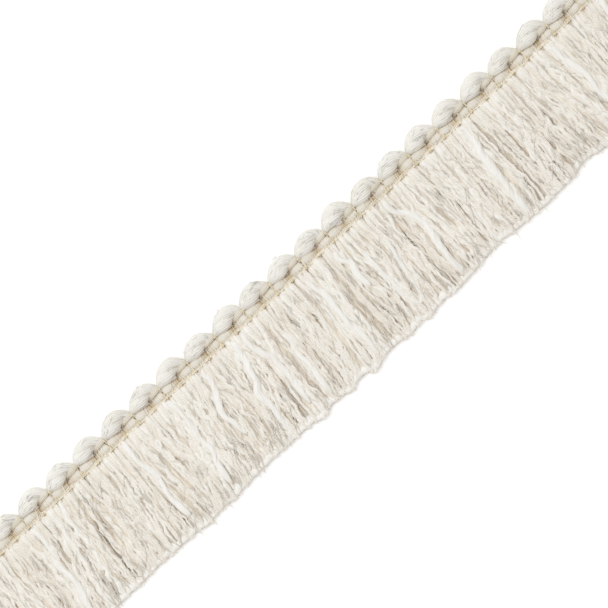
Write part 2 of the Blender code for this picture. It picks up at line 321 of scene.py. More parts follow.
# Thick white slub yarns that lie on top: the places that each passes, as (x, share of the skirt's depth).
SLUBS = (
    # radius, route
    (1.20, ((-22.4, 0.02), (-22.2, 0.12), (-23.0, 0.22), (-24.1, 0.32), (-24.5, 0.41), (-26.3, 0.50),
            (-26.1, 0.59), (-26.4, 0.76), (-27.2, 0.97))),
    (1.10, ((-19.0, 0.02), (-19.3, 0.12), (-19.1, 0.20), (-18.4, 0.29), (-17.3, 0.36), (-17.5, 0.43),
            (-17.0, 0.52), (-17.8, 0.66), (-18.2, 0.84))),
    (1.05, ((2.6, 0.02), (2.8, 0.14), (3.7, 0.28), (3.4, 0.45), (3.3, 0.63), (3.7, 0.80), (3.5, 0.97))),
    (1.15, ((31.2, 0.02), (31.5, 0.15), (34.0, 0.28), (35.3, 0.46), (34.0, 0.66), (33.8, 0.85),
            (34.5, 0.97))),
    (1.35, ((58.6, 0.02), (59.2, 0.18), (58.4, 0.32), (57.8, 0.46), (57.6, 0.64), (56.9, 0.84),
            (57.2, 0.97))),
    (1.00, ((-93.4, 0.02), (-93.0, 0.20), (-94.6, 0.42), (-94.2, 0.60), (-96.0, 0.80), (-96.8, 0.97))),
    (0.95, ((-60.8, 0.02), (-61.2, 0.22), (-60.2, 0.40), (-61.4, 0.62), (-60.8, 0.85))),
    (1.05, ((90.4, 0.02), (90.8, 0.22), (92.2, 0.42), (91.8, 0.62), (93.0, 0.90))),
    (0.72, ((18.1, 0.06), (18.5, 0.28), (18.7, 0.50), (18.8, 0.70), (19.3, 0.80), (20.7, 0.85),
            (22.0, 0.80), (22.6, 0.70), (23.5, 0.55), (24.7, 0.36), (25.3, 0.10))),
    (1.10, ((108.4, 0.02), (107.6, 0.20), (107.9, 0.40), (106.4, 0.60), (106.6, 0.92))),
    (0.95, ((-44.9, 0.02), (-44.5, 0.20), (-45.0, 0.35), (-45.6, 0.48), (-45.0, 0.58), (-46.6, 0.70),
            (-47.4, 0.90))),
    (1.05, ((-34.0, 0.04), (-33.0, 0.15), (-34.2, 0.25), (-36.0, 0.36), (-36.8, 0.46), (-35.9, 0.56),
            (-36.0, 0.70))),
    (1.05, ((13.9, 0.02), (12.6, 0.13), (14.3, 0.23), (13.5, 0.33), (14.0, 0.48))),
    (0.95, ((-11.3, 0.27), (-10.6, 0.37), (-12.0, 0.48), (-11.4, 0.62), (-12.1, 0.76), (-12.4, 0.93))),
)
SLUB_STATIONS = 64

# Loose fibres on the skirt's face, in millimetres
FLUFF_FIBRES = 1500
FLUFF_THREAD = (0.08, 0.17)
FLUFF_HALF_LENGTH = (1.5, 4.0)
FLUFF_HEIGHT = (0.30, 0.60)
FLUFF_DROOP = 0.45  # how far a fibre's ends hang below its middle
FLUFF_BEND = 0.55
FLUFF_LEAN_SPAN = 30.0  # the trim's lean over this depth of skirt gives the fibres their slant
FLUFF_FACE_SPAN = 30.4  # the skirt's height falls over this depth

# The finishes. Turns are those of the plies in a millimetre, and relief_mm is the relief of fibres and plies.
# The deep colour is painted shade where a yarn lies deep, and groove sinks the grooves between plies and
# darkens them as painted shade.
# ochre rubbed off the ties onto the cords, and the painted shade of the ochre threads where they lie deep
OCHRE_STAIN_AND_SHADE = (0.66, 0.50, 0.26)
FINISHES = {
    "inner_cotton": dict(
        light=(0.86, 0.825, 0.77), dark=(0.80, 0.745, 0.67), deep=(0.76, 0.68, 0.58),
        plies=2, turns=0.4, groove=0.2, fibre_scale=1.6, fibre_stretch=1.2, relief_mm=0.05),
    "fine_cotton": dict(
        light=(0.872, 0.853, 0.82), dark=(0.77, 0.72, 0.655), deep=(0.78, 0.70, 0.60),
        plies=2, turns=0.62, groove=0.50, fibre_scale=1.8, fibre_stretch=1.7, relief_mm=0.045),
    "soft_cotton": dict(
        light=(0.875, 0.862, 0.835), dark=(0.81, 0.77, 0.71), deep=(0.80, 0.725, 0.63),
        plies=3, turns=0.22, groove=0.35, fibre_scale=2.2, fibre_stretch=1.0, relief_mm=0.06),
    "white_slub": dict(
        light=(0.88, 0.875, 0.86), dark=(0.81, 0.785, 0.745), deep=(0.82, 0.74, 0.64),
        plies=7, turns=0, groove=0.35, fibre_scale=2.5, fibre_stretch=0.6, relief_mm=0.11),
    # the felted edge's deep colour is the grey of a painted shadow along the rim
    "felted_edge": dict(
        light=(0.90, 0.89, 0.87), dark=(0.80, 0.77, 0.72), deep=(0.48, 0.46, 0.43),
        plies=0, turns=0, groove=0, fibre_scale=1.2, fibre_stretch=2.6, relief_mm=0.20),
    "grey_white_roving": dict(
        light=(0.95, 0.945, 0.93), dark=(0.80, 0.765, 0.70), deep=(0.68, 0.59, 0.46),
        plies=18, turns=0, groove=0.55, fibre_scale=6.0, fibre_stretch=0.5, relief_mm=0.22, sheen=0.25),
    # the fan's roving: the scallop plies' own roving, painted darker and warmer as the shade where the fan
    # comes out of the eye
    "shaded_fan_roving": dict(
        light=(0.86, 0.82, 0.74), dark=(0.72, 0.655, 0.54), deep=(0.64, 0.54, 0.42),
        plies=12, turns=0, groove=0.55, fibre_scale=4.0, fibre_stretch=0.5, relief_mm=0.24, sheen=0.25),
    "laid_yarn": dict(
        light=(0.77, 0.745, 0.695), dark=(0.66, 0.61, 0.53), deep=(0.70, 0.60, 0.47),
        # brown near the ties: ochre rubbed off them, and at the eye painted shade
        stain_and_shade=(0.60, 0.49, 0.35),
        plies=10, turns=0, groove=0.3, fibre_scale=4.0, fibre_stretch=0.6, relief_mm=0.12),
    "ochre_thread": dict(
        light=(0.87, 0.775, 0.58), dark=(0.77, 0.64, 0.43), deep=OCHRE_STAIN_AND_SHADE, roughness=0.7, sheen=0.1,
        plies=2, turns=0.9, groove=0.3, fibre_scale=1.2, fibre_stretch=2.0, relief_mm=0.05),
    "beige_thread": dict(
        light=(0.92, 0.87, 0.78), dark=(0.80, 0.71, 0.56), deep=(0.52, 0.40, 0.28), roughness=0.8, sheen=0.1,
        plies=2, turns=0.7, groove=0.45, fibre_scale=1.2, fibre_stretch=2.0, relief_mm=0.08),
}

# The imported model, and the places along the trim that come from it
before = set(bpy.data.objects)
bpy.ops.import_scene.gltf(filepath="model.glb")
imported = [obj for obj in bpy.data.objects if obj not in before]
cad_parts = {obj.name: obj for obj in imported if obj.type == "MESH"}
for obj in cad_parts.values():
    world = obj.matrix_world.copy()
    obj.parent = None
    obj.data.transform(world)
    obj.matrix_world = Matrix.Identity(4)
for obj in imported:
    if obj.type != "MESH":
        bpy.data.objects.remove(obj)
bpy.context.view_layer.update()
cord_low, cord_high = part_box("scallop_cord")
X_START = cord_low.x
LENGTH = cord_high.x - cord_low.x
PITCH = LENGTH / SCALLOPS
TIES = SCALLOPS * TIES_PER_SCALLOP


# Small tools for arrays of points


def unit(vectors):
    """Each vector divided by its length."""
    return vectors / np.linalg.norm(vectors, axis=-1, keepdims=True)


def bell(place, middle, width):
    """A bell curve: 1 in its middle, and 1 / e at its width to each side."""
    return np.exp(-(((place - middle) / width) ** 2))


def beats(x, short_mm, long_mm, start=0.0):
    """Waves that swell and die away: a sine of x in short lengths, times a sine of x in long ones."""
    return np.sin(x / (short_mm * MM)) * np.sin(x / (long_mm * MM) + start)


def chance_mm(draw, limits, shape=None):
    """Chance lengths between two limits in millimetres, in metres."""
    return draw.uniform(*limits, shape) * MM


def through(points, count):
    """A smooth curve through a few points: cubics that run at each one along its neighbours' chord."""
    points = np.asarray(points, float)
    ends = np.vstack([2 * points[0] - points[1], points, 2 * points[-1] - points[-2]])
    place = np.linspace(0, len(points) - 1, count)
    stretch = np.minimum(place.astype(int), len(points) - 2)
    f = (place - stretch)[:, None]
    a, b, c, d = (ends[stretch + k] for k in range(4))
    return (2 * b + (c - a) * f + (2 * a - 5 * b + 4 * c - d) * f**2 + (3 * b - a - 3 * c + d) * f**3) / 2


def eased(table, x):
    """Values between the rows of a table of (place, value) in millimetres, along half cosines, in metres."""
    places, values = np.asarray(table, float).T
    x_mm = np.clip(x / MM, places[0], places[-1])
    row = np.clip(np.searchsorted(places, x_mm, side="right") - 1, 0, len(places) - 2)
    share = (x_mm - places[row]) / (places[row + 1] - places[row])
    return MM * (values[row] + (values[row + 1] - values[row]) * (1 - np.cos(np.pi * share)) / 2)


def path_length(paths):
    """Length along each path up to each of its points."""
    steps = np.linalg.norm(np.diff(paths, axis=1), axis=-1)
    return np.concatenate([np.zeros((len(paths), 1)), np.cumsum(steps, axis=1)], axis=1)


def wander(draws, share, waves):
    """A sum of sine waves along each yarn, one for each (size, count), whose start, count and size vary."""
    total = np.zeros((len(draws), len(share)))
    for column, (size, count) in enumerate(waves):
        start, stretch, swell = draws[:, column].T[..., None]
        turns = count * (0.75 + 0.5 * stretch) * share + start
        total += size * (0.5 + swell) * np.sin(2 * np.pi * turns)
    return total


def sunk(points, surface, reach_mm):
    """How far points lie below a surface: from 0 at its height to 1 at the reach under it."""
    return np.clip((surface - points[..., 2]) / (reach_mm * MM), 0, 1)


# Meshes


def add_object(name, data):
    """A new object of the scene, which stands at the frame's origin."""
    made = bpy.data.objects.new(name, data)
    bpy.context.scene.collection.objects.link(made)
    return made


def sweep(paths, normals, radii, profile, turns=0.0):
    """Tubes along paths, as points [tube, station, side].

    At each station the section lies across the path. It has the radius times the profile's factor at each
    side, starts at the direction of the tube's normal and has turned by that many turns about the path.
    """
    tangents = unit(np.gradient(paths, axis=1))
    normals = np.broadcast_to(normals, (len(paths), 3))[:, None]
    up = unit(normals - (normals * tangents).sum(axis=-1, keepdims=True) * tangents)
    side = np.cross(tangents, up)
    angle = 2 * np.pi * (np.arange(len(profile)) / len(profile) + np.asarray(turns)[..., None])
    reach = radii[..., None] * profile
    upwards = (reach * np.cos(angle))[..., None] * up[:, :, None]
    sideways = (reach * np.sin(angle))[..., None] * side[:, :, None]
    return paths[:, :, None] + upwards + sideways


def lobed(sides, lobes, depth):
    """A round section with lobes: 1 on their crests, and less by the depth in the grooves between them."""
    return 1 - depth / 2 * (1 - np.cos(2 * np.pi * lobes * np.arange(sides) / sides))


def yarn_uv(points, lengths, corners):
    """A UV for each corner of the faces: U runs once round a tube, and V along it in millimetres."""
    tubes, stations, sides = points.shape[:3]
    around = np.arange(sides) / sides
    wall_u = np.stack([around, around + 1 / sides, around + 1 / sides, around], axis=-1)
    wall_u = np.broadcast_to(wall_u, (tubes, stations - 1, sides, 4)).ravel()
    cap_u = np.concatenate([np.tile(around[::-1], tubes), np.tile(around, tubes)])
    length_mm = np.broadcast_to(lengths[..., None] / MM, points.shape[:3]).ravel()
    return np.stack([np.concatenate([wall_u, cap_u]), length_mm[corners]], axis=-1)


def spread_out(values, shape):
    """Values for each tube, station or side as an array of the whole shape [tube, station, side]."""
    values = np.asarray(values, float)
    return np.broadcast_to(values.reshape(values.shape + (1,) * (3 - values.ndim)), shape)


def tubes_to_mesh(name, material, points, lengths, tones, painted_shade=0.0, stains_and_shade=0.0):
    """One piece from points [tube, station, side], closed at both ends, with its UV map and its yarn colours.

    The colour attribute holds the yarn's tone in red, the painted shade where a point lies deep among its
    neighbours in green, and in blue how far it turns to the ochre rubbed off the ties, which in the laid-in
    yarn is also painted shade at the eye.
    """
    tubes, stations, sides = points.shape[:3]
    index = np.arange(tubes * stations * sides).reshape(tubes, stations, sides)
    after = np.roll(index, -1, axis=2)
    quads = np.stack([index[:, :-1], after[:, :-1], after[:, 1:], index[:, 1:]], axis=-1).reshape(-1, 4)
    caps = np.concatenate([index[:, 0, ::-1], index[:, -1]]).reshape(-1, sides)
    corners = np.concatenate([quads.ravel(), caps.ravel()])
    face_starts = np.cumsum(np.repeat([4, sides], [len(quads), len(caps)]))
    face_starts = np.concatenate([[0], face_starts[:-1]])

    mesh = bpy.data.meshes.new(name)
    mesh.vertices.add(index.size)
    mesh.vertices.foreach_set("co", points.astype(np.float32).ravel())
    mesh.loops.add(len(corners))
    mesh.loops.foreach_set("vertex_index", corners.astype(np.int32))
    mesh.polygons.add(len(face_starts))
    mesh.polygons.foreach_set("loop_start", face_starts.astype(np.int32))
    mesh.polygons.foreach_set("use_smooth", np.ones(len(face_starts), bool))
    uv = yarn_uv(points, lengths, corners)
    mesh.uv_layers.new(name="yarn").data.foreach_set("uv", uv.astype(np.float32).ravel())
    colour = np.ones((*points.shape[:3], 4))
    for channel, values in enumerate((tones, painted_shade, stains_and_shade)):
        colour[..., channel] = spread_out(values, points.shape[:3])
    yarn_tone = mesh.attributes.new("yarn_tone", "FLOAT_COLOR", "POINT")
    yarn_tone.data.foreach_set("color", colour.astype(np.float32).ravel())
    mesh.update(calc_edges=True)
    mesh.validate()
    mesh.materials.append(material)
    return add_object(name, mesh)


def thread_piece(name, material, paths, radii, profile, tones, normals=(0, 0, 1), turn_mm=math.inf,
                 painted_shade_of=None):
    """One piece of threads along paths, whose sections turn once round in every turn_mm of length.

    The given function works out the painted shade of points that lie deep. Without it none is painted.
    """
    paths = np.asarray(paths)
    lengths = path_length(paths)
    points = sweep(paths, normals, np.asarray(radii), profile, lengths / (turn_mm * MM))
    painted_shade = painted_shade_of(points) if painted_shade_of else 0.0
    return tubes_to_mesh(name, material, points, lengths, tones, painted_shade)


# Materials


def add_node(tree, kind, location, **settings):
    """A new node in its place in the tree."""
    node = tree.nodes.new(kind)
    node.location = location
    for key, value in settings.items():
        setattr(node, key, value)
    return node


def feed(tree, node, inputs):
    """Gives a node's inputs, by name or number, their values: numbers, colours or other nodes' outputs."""
    for key, value in inputs.items():
        if isinstance(value, bpy.types.NodeSocket):
            tree.links.new(value, node.inputs[key])
        else:
            node.inputs[key].default_value = value


def maths(tree, operation, location, *values):
    """A Math node of one to three values. Returns its output."""
    node = add_node(tree, "ShaderNodeMath", location, operation=operation)
    feed(tree, node, dict(enumerate(values)))
    return node.outputs[0]


def blend_colours(tree, location, amount, low, high):
    """A Mix node, by the numbers of its colour sockets: low where the amount is 0. Returns its output."""
    node = add_node(tree, "ShaderNodeMix", location, data_type="RGBA")
    feed(tree, node, {"Factor": amount, 6: low, 7: high})
    return node.outputs[2]


def add_noise(tree, location, vector, scale, detail, roughness):
    """A noise texture. Returns its output."""
    node = add_node(tree, "ShaderNodeTexNoise", location)
    feed(tree, node, {"Vector": vector, "Scale": scale, "Detail": detail, "Roughness": roughness})
    return node.outputs["Fac"]


def fibre_noise(group, given, around, along, tone):
    """The fibres: noise on a cylinder, stretched along the yarn and shifted by the yarn's own tone."""
    round_x = maths(group, "COSINE", (-860, -120), around)
    round_x = maths(group, "MULTIPLY", (-700, -120), round_x, given["Fibre Scale"])
    round_y = maths(group, "SINE", (-860, -240), around)
    round_y = maths(group, "MULTIPLY", (-700, -240), round_y, given["Fibre Scale"])
    run = maths(group, "MULTIPLY", (-700, -360), along, given["Fibre Stretch"])
    place = add_node(group, "ShaderNodeCombineXYZ", (-540, -240))
    feed(group, place, {"X": round_x, "Y": round_y, "Z": run})
    shift = maths(group, "MULTIPLY", (-540, -60), tone, 37.0)
    shifted = add_node(group, "ShaderNodeVectorMath", (-380, -240), operation="ADD")
    feed(group, shifted, {0: place.outputs[0], 1: shift})
    return add_noise(group, (-200, -240), shifted.outputs[0], scale=1.0, detail=3.0, roughness=0.65)


def ply_grooves(group, given, around, along, fibre):
    """The grooves between the plies: a cosine round the yarn, which turns along it. It is 0 on the crests. It
    sinks the relief in the grooves and darkens their colour as painted shade.
    """
    wound = maths(group, "MULTIPLY", (-860, 240), along, given["Turns per mm"])
    wound = maths(group, "MULTIPLY", (-700, 240), wound, 2 * math.pi)
    angle = maths(group, "ADD", (-540, 240), around, wound)
    angle = maths(group, "MULTIPLY_ADD", (-460, 320), fibre, 0.14, angle)
    angle = maths(group, "MULTIPLY", (-540, 120), angle, given["Plies"])
    crest = maths(group, "COSINE", (-380, 120), angle)
    crest = maths(group, "MULTIPLY_ADD", (-200, 120), crest, 0.5, 0.5)
    hollow = maths(group, "SUBTRACT", (-40, 120), 1.0, crest)
    return maths(group, "MULTIPLY", (120, 120), hollow, given["Groove"])


def yarn_surface_group():
    """The surface of every yarn, from its own UV map and colour attribute. Puts out a colour and a height.

    The colour lies between the dark and the light one, by the yarn's tone, clouds over the cloth, the fibres
    and the grooves, whose darkening is painted shade. Where the yarn lies deep it turns to the painted shade
    colour, and then it turns towards the ochre of the ties, which in the laid-in yarn also paints the shade
    at the eye.
    """
    group = bpy.data.node_groups.new("yarn_surface", "ShaderNodeTree")
    for name in ("Light", "Dark", "Painted Shade", "Stain and Shade"):
        group.interface.new_socket(name, in_out="INPUT", socket_type="NodeSocketColor")
    for name in ("Plies", "Turns per mm", "Groove", "Fibre Scale", "Fibre Stretch"):
        group.interface.new_socket(name, in_out="INPUT", socket_type="NodeSocketFloat")
    group.interface.new_socket("Color", in_out="OUTPUT", socket_type="NodeSocketColor")
    group.interface.new_socket("Height", in_out="OUTPUT", socket_type="NodeSocketFloat")
    given = add_node(group, "NodeGroupInput", (-1400, 0)).outputs

    uv = add_node(group, "ShaderNodeUVMap", (-1400, -300), uv_map="yarn")
    split_uv = add_node(group, "ShaderNodeSeparateXYZ", (-1200, -300))
    feed(group, split_uv, {0: uv.outputs[0]})
    around = maths(group, "MULTIPLY", (-1020, -200), split_uv.outputs["X"], 2 * math.pi)
    along = split_uv.outputs["Y"]
    yarn_tone = add_node(group, "ShaderNodeAttribute", (-1400, 320), attribute_name="yarn_tone")
    split_tone = add_node(group, "ShaderNodeSeparateColor", (-1200, 320))
    feed(group, split_tone, {0: yarn_tone.outputs["Color"]})
    tone, depth, stain_and_shade = split_tone.outputs
    fibre = fibre_noise(group, given, around, along, tone)
    groove = ply_grooves(group, given, around, along, fibre)

    cloth = add_node(group, "ShaderNodeTexCoord", (-1400, 600))
    cloud = add_noise(group, (-1200, 600), cloth.outputs["Object"], scale=170.0, detail=2.0, roughness=0.5)
    lightness = maths(group, "MULTIPLY", (-380, 420), tone, 0.50)
    lightness = maths(group, "MULTIPLY_ADD", (-200, 420), cloud, 0.7, lightness)
    lightness = maths(group, "MULTIPLY_ADD", (-40, 420), fibre, 0.5, lightness)
    # Painted shade: the colour darkens in the grooves between the plies, which also sink the relief below.
    lightness = maths(group, "SUBTRACT", (280, 420), lightness, groove)
    lightness.node.use_clamp = True
    colour = blend_colours(group, (460, 300), lightness, given["Dark"], given["Light"])
    # Painted shade: where the yarn lies deep among its neighbours the colour turns to the painted shade
    # colour.
    colour = blend_colours(group, (550, 250), depth, colour, given["Painted Shade"])
    # Then the ochre rubbed off the ties, which in the laid-in yarn also paints the shade at the eye.
    colour = blend_colours(group, (640, 200), stain_and_shade, colour, given["Stain and Shade"])
    height = maths(group, "MULTIPLY", (280, -200), fibre, 0.5)
    height = maths(group, "SUBTRACT", (460, -200), height, groove)
    out = add_node(group, "NodeGroupOutput", (860, 0))
    feed(group, out, {"Color": colour, "Height": height})
    return group


def yarn_material(name, surface, light, dark, deep, plies, turns, groove, fibre_scale, fibre_stretch,
                  relief_mm, stain_and_shade=OCHRE_STAIN_AND_SHADE, roughness=0.92, sheen=0.6):
    """A matt yarn finish: the shared surface feeds its colour and relief, and a little sheen is its fuzz."""
    material = bpy.data.materials.new(name)
    material.use_nodes = True
    tree = material.node_tree
    yarn = add_node(tree, "ShaderNodeGroup", (-500, 200), node_tree=surface)
    feed(tree, yarn, {
        "Light": (*light, 1), "Dark": (*dark, 1), "Painted Shade": (*deep, 1), "Stain and Shade": (*stain_and_shade, 1),
        "Plies": plies, "Turns per mm": turns, "Groove": groove,
        "Fibre Scale": fibre_scale, "Fibre Stretch": fibre_stretch,
    })
    relief = add_node(tree, "ShaderNodeBump", (-260, -200))
    feed(tree, relief, {"Strength": 1.0, "Distance": relief_mm * MM, "Height": yarn.outputs["Height"]})
    feed(tree, tree.nodes["Principled BSDF"], {
        "Base Color": yarn.outputs["Color"],
        "Normal": relief.outputs["Normal"],
        "Roughness": roughness,
        "Sheen Weight": sheen,
        "Sheen Roughness": 0.6,
        "Sheen Tint": (1.0, 0.85, 0.70, 1),
        "Specular IOR Level": 0.2,
    })
    return material


# The heading


def scallop_x(scallop, x):
    """The place along the trim of an x in the routes, in the scallop with that number."""
    return X_START + PITCH * (scallop + x / NOMINAL_PITCH)


def tie_x(tie):
    """The place along the trim of the tie with that number."""
    return X_START + PITCH * tie / TIES_PER_SCALLOP


def heading_painted_shade(points):
    """Painted shade on the heading: how deep points lie below a surface that stands for its upper surface and
    falls by 1 mm from strip to crests.

    The underside is as open to the light as the face, so the painted shade fades out again between 1.6 and
    0.6 mm up.
    """
    surface = MM * np.interp(points[..., 1] / MM, *zip(*HEADING_SHADE_TOP))
    return sunk(points, surface, HEADING_SHADE_REACH) * np.clip(points[..., 2] / MM - 0.6, 0, 1)


def lay_bundles(name, material, draw, routes, strands, sides, stations, stray_mm, stain_and_shade):
    """The same few bundles of strands in every scallop, each a little different, from tie to tie.

    Each follows a smooth curve through its route and has the route's radius, and a low ridge for each strand,
    which turns slowly on its way. Near the ties it turns towards the ochre rubbed off them, by the share
    given;
    in the laid-in yarn that brown is also painted shade at the eye.
    """
    share = np.linspace(0, 1, stations)
    bulge = np.sin(np.pi * share)
    near_tie = np.interp(np.abs(2 * share - 1), (0.6, 1), (0, 1))
    paths, radii = [], []
    for scallop in range(SCALLOPS):
        shared = draw.normal(0, stray_mm * MM, 3)
        for route in routes:
            x, y, z, radius = (through(route, stations) * MM).T
            stray = shared + draw.normal(0, 0.3 * stray_mm * MM, 3)
            off_x, off_y, off_z = stray[:, None] * bulge
            paths.append(np.stack([scallop_x(scallop, x) + off_x, y + off_y, z + 0.5 * off_z], axis=-1))
            radii.append(radius * (1 + draw.normal(0, 0.035) * bulge))
    paths, radii = np.array(paths), np.array(radii)
    lengths = path_length(paths)
    turns = lengths / LAY + draw.uniform(0, 1, (len(paths), 1))
    points = sweep(paths, (0, 0, 1), radii, lobed(sides, strands, RIDGE), turns)
    tones = draw.uniform(0.3, 0.6, len(paths))
    stains_and_shade = stain_and_shade * near_tie[None]
    return tubes_to_mesh(name, material, points, lengths, tones, heading_painted_shade(points), stains_and_shade)


def make_fuzz(material, draw):
    """Stray fibres over the scallops: short arcs along the strands of a ply, which lift off its surface."""
    along = np.linspace(-1, 1, 6)
    paths = []
    for scallop in range(SCALLOPS):
        for route in (FRONT_PLY, CREST_PLY):
            centre = through(route, 40) * MM
            slopes = unit(np.gradient(centre[:, :3], axis=0))
            for _ in range(FUZZ_FIBRES):
                station = draw.integers(8, 34)
                x, y, z, radius = centre[station]
                angle = draw.uniform(*FUZZ_SIDE)
                out = np.array([0.0, math.sin(angle), math.cos(angle)])
                middle = np.array([scallop_x(scallop, x), y, z]) + out * radius
                aim = unit(slopes[station] + draw.normal(0, 0.3, 3))
                lift = chance_mm(draw, FUZZ_LIFT) * (along + 0.5) ** 2
                reach = chance_mm(draw, FUZZ_HALF_LENGTH) * along
                paths.append(middle + reach[:, None] * aim + lift[:, None] * out)
    radii = chance_mm(draw, FUZZ_THREAD, (len(paths), 1)) * np.sqrt(1.1 - along**2)
    tones = draw.uniform(0.3, 1.0, len(paths))
    return thread_piece("scallop_fuzz", material, paths, radii, np.ones(3), tones, normals=(0.3, 0.2, 1))


def make_ties(material, draw):
    """Closed rings of thread across the heading, two wraps at every pinch: long ones between two scallops.

    A ring follows its outline across the trim, and leans along it by one sine wave in its way round.
    """
    outlines = [through(outline, TIE_STATIONS) * MM for outline in (LONG_TIE, SHORT_TIE)]
    way_round = np.linspace(0, 2 * np.pi, TIE_STATIONS)
    paths, radii = [], []
    for tie in range(1, TIES):
        for wrap in (-0.5, 0.5):
            x = tie_x(tie) + MM * (wrap * TIE_SPACING + draw.normal(0, TIE_STRAY))
            slant = MM * draw.normal(0, TIE_SLANT) * np.sin(way_round)
            paths.append(np.column_stack([x + slant, outlines[tie % TIES_PER_SCALLOP]]))
            radii.append(np.full(TIE_STATIONS, chance_mm(draw, TIE_THREAD)))
    tones = draw.uniform(0, 1, len(paths))
    return thread_piece("tie_threads", material, paths, radii, lobed(6, lobes=2, depth=0.2), tones,
                        normals=(1, 0, 0), turn_mm=5, painted_shade_of=heading_painted_shade)


def make_wraps(material, draw):
    """Fine threads that cross the laid-in yarn: arches from the selvedge up to the scallops.

    None crosses the eye in the middle of a scallop. At the pinches, and most beside the eye, an arch sinks
    as it goes away from the selvedge.
    """
    arch_y, arch_z = through(WRAP_ARCH, 10).T * MM
    x = spread_roots(draw, SCALLOPS * WRAPS_PER_SCALLOP)
    angle = 2 * np.pi * (x - X_START) / PITCH
    clear = np.cos(angle) > -0.80
    x, angle = x[clear, None], angle[clear, None]
    beside_eye = (1 - np.cos(angle)) / 2
    sink = MM * (1 - np.abs(np.sin(angle))) * (0.8 + 1.4 * beside_eye) * np.clip(arch_y / (1.5 * MM), 0, 1)
    slope = draw.normal(0, 0.18, x.shape)
    paths = np.stack([
        x + slope * arch_y,
        np.broadcast_to(arch_y, sink.shape),
        arch_z - sink - chance_mm(draw, WRAP_DROP, x.shape),
    ], axis=-1)
    radii = np.broadcast_to(chance_mm(draw, WRAP_THREAD, x.shape), sink.shape)
    tones = draw.uniform(0.2, 1.0, len(x))
    return thread_piece("wrap_threads", material, paths, radii, np.ones(5), tones, normals=(1, 0, 0),
                        painted_shade_of=heading_painted_shade)


def make_knots(material, draw):
    """A small egg of wound thread on the selvedge at each tie, and one on the cord at each long tie."""
    share = np.linspace(-1, 1, 9)
    paths, radii = [], []
    for tie in range(1, TIES):
        is_long = tie % TIES_PER_SCALLOP == 0
        for y, z in KNOTS[:1 + is_long]:
            aim = unit(np.array([draw.normal(0, 0.5), 1.0, draw.normal(0, 0.2)]))
            middle = np.array([tie_x(tie) + draw.normal(0, 0.1 * MM), y * MM, z * MM])
            paths.append(middle + aim * share[:, None] * chance_mm(draw, KNOT_HALF_LENGTH))
            radii.append(chance_mm(draw, KNOT_THICKNESS) * np.sqrt(1.04 - share**2))
    tones = draw.uniform(0, 0.6, len(paths))
    return thread_piece("tie_knots", material, paths, radii, lobed(12, lobes=4, depth=0.2), tones, turn_mm=1)


def make_selvedge(material, draw):
    """Two threads along the lower side of the heading, which dip a little between the ties."""
    tie = np.linspace(0, TIES, 6 * TIES + 1)
    dip = np.abs(np.sin(np.pi * tie))
    paths = np.array([
        np.stack([
            tie_x(tie),
            MM * (y + 0.05 * np.sin(2.3 * tie + 2.1 * thread) - 0.16 * dip),
            MM * (z + 0.04 * np.sin(3.1 * tie + thread) - 0.10 * dip),
        ], axis=-1)
        for thread, (y, z) in enumerate(SELVEDGE)
    ])
    radii = np.full(paths.shape[:2], SELVEDGE_THREAD * MM)
    tones = draw.uniform(0.2, 0.6, len(paths))
    return thread_piece("selvedge_threads", material, paths, radii, lobed(6, lobes=2, depth=0.25), tones,
                        turn_mm=8)


def make_root_strip(material):
    """The woven strip that carries the skirt: its L section drawn along the trim, with low ribs across it.

    Between two ribs the section shrinks a little towards its middle, by a cosine wave.
    """
    ribs = SCALLOPS * RIBS_PER_SCALLOP
    rib = np.linspace(0, ribs, 2 * ribs + 1)
    outline = np.array(STRIP_SECTION) * MM
    middle = outline.mean(axis=0)
    swell = 1 - RIB_DEPTH * (1 - np.cos(2 * np.pi * rib)) / 2
    section = middle + (outline - middle) * swell[:, None, None]
    lengths = LENGTH * rib / ribs
    x = np.broadcast_to((X_START + lengths)[:, None, None], (*section.shape[:2], 1))
    points = np.concatenate([x, section], axis=-1)[None, :, ::-1]
    return tubes_to_mesh("root_strip", material, points, lengths[None], 0.4, heading_painted_shade(points))


# The skirt


def spread_roots(draw, count):
    """Roots along the whole trim, evenly spaced but for a little chance."""
    step = (LENGTH - 2 * END_INSET) / count
    return X_START + END_INSET + step * (np.arange(count) + 0.5 + draw.uniform(-0.22, 0.22, count))


def bunches(roots):
    """For each root: the middle of its bunch, its place there from -1 to 1, and the bunch's lean.

    A bunch is what one half scallop binds.
    """
    half = PITCH / TIES_PER_SCALLOP
    number = np.clip(((roots - X_START) / half).astype(int), 0, TIES - 1)
    middle = X_START + half * (number + 0.5)
    leans = np.random.default_rng(BUNCH_SEED).normal(0, 0.6 * MM, TIES)
    return middle, np.clip((roots - middle) * 2 / half, -1, 1), leans[number]


def lower_edge(x):
    """The y of the skirt's lower edge: its mean line less a sum of bell curves, one for each swell."""
    middles, half_widths, pasts = np.asarray(EDGE_SWELLS, float).T
    return EDGE_Y - MM * (pasts * bell(x[..., None] / MM, middles, half_widths)).sum(axis=-1)


def skirt_height(share):
    """Height of the skirt's upper surface: it falls slowly to the edge, and faster close to it."""
    return MM * (ROOT_HEIGHT - SKIRT_FALL * share - EDGE_FALL * share**9)


def flow(x, share):
    """How far neighbouring yarns sway together along the trim: a sum of slanting waves over the skirt."""
    total = 0
    for size, length, count, start in SWAYS:
        total = total + size * MM * np.sin(2 * np.pi * (x / (length * MM) + count * share + start))
    return total


def parted(x, share):
    """Places along the trim, pushed apart round each hole: most at its sides, and not at all far off."""
    for place, hole_share, opening in PARTINGS:
        off = (x / MM - place) / HOLE_HALF_WIDTH
        push = HOLE_PUSH * opening * off * bell(off, 0, 1) * bell(share, hole_share, HOLE_HALF_HEIGHT)
        x = x + MM * push
    return x


def cloth_tone(x):
    """How much lighter the yarns are at a place along the trim: a sum of long sine waves."""
    return sum(size * np.sin(2 * np.pi * (x / (length * MM) + start)) for size, length, start in TONE_WAVES)


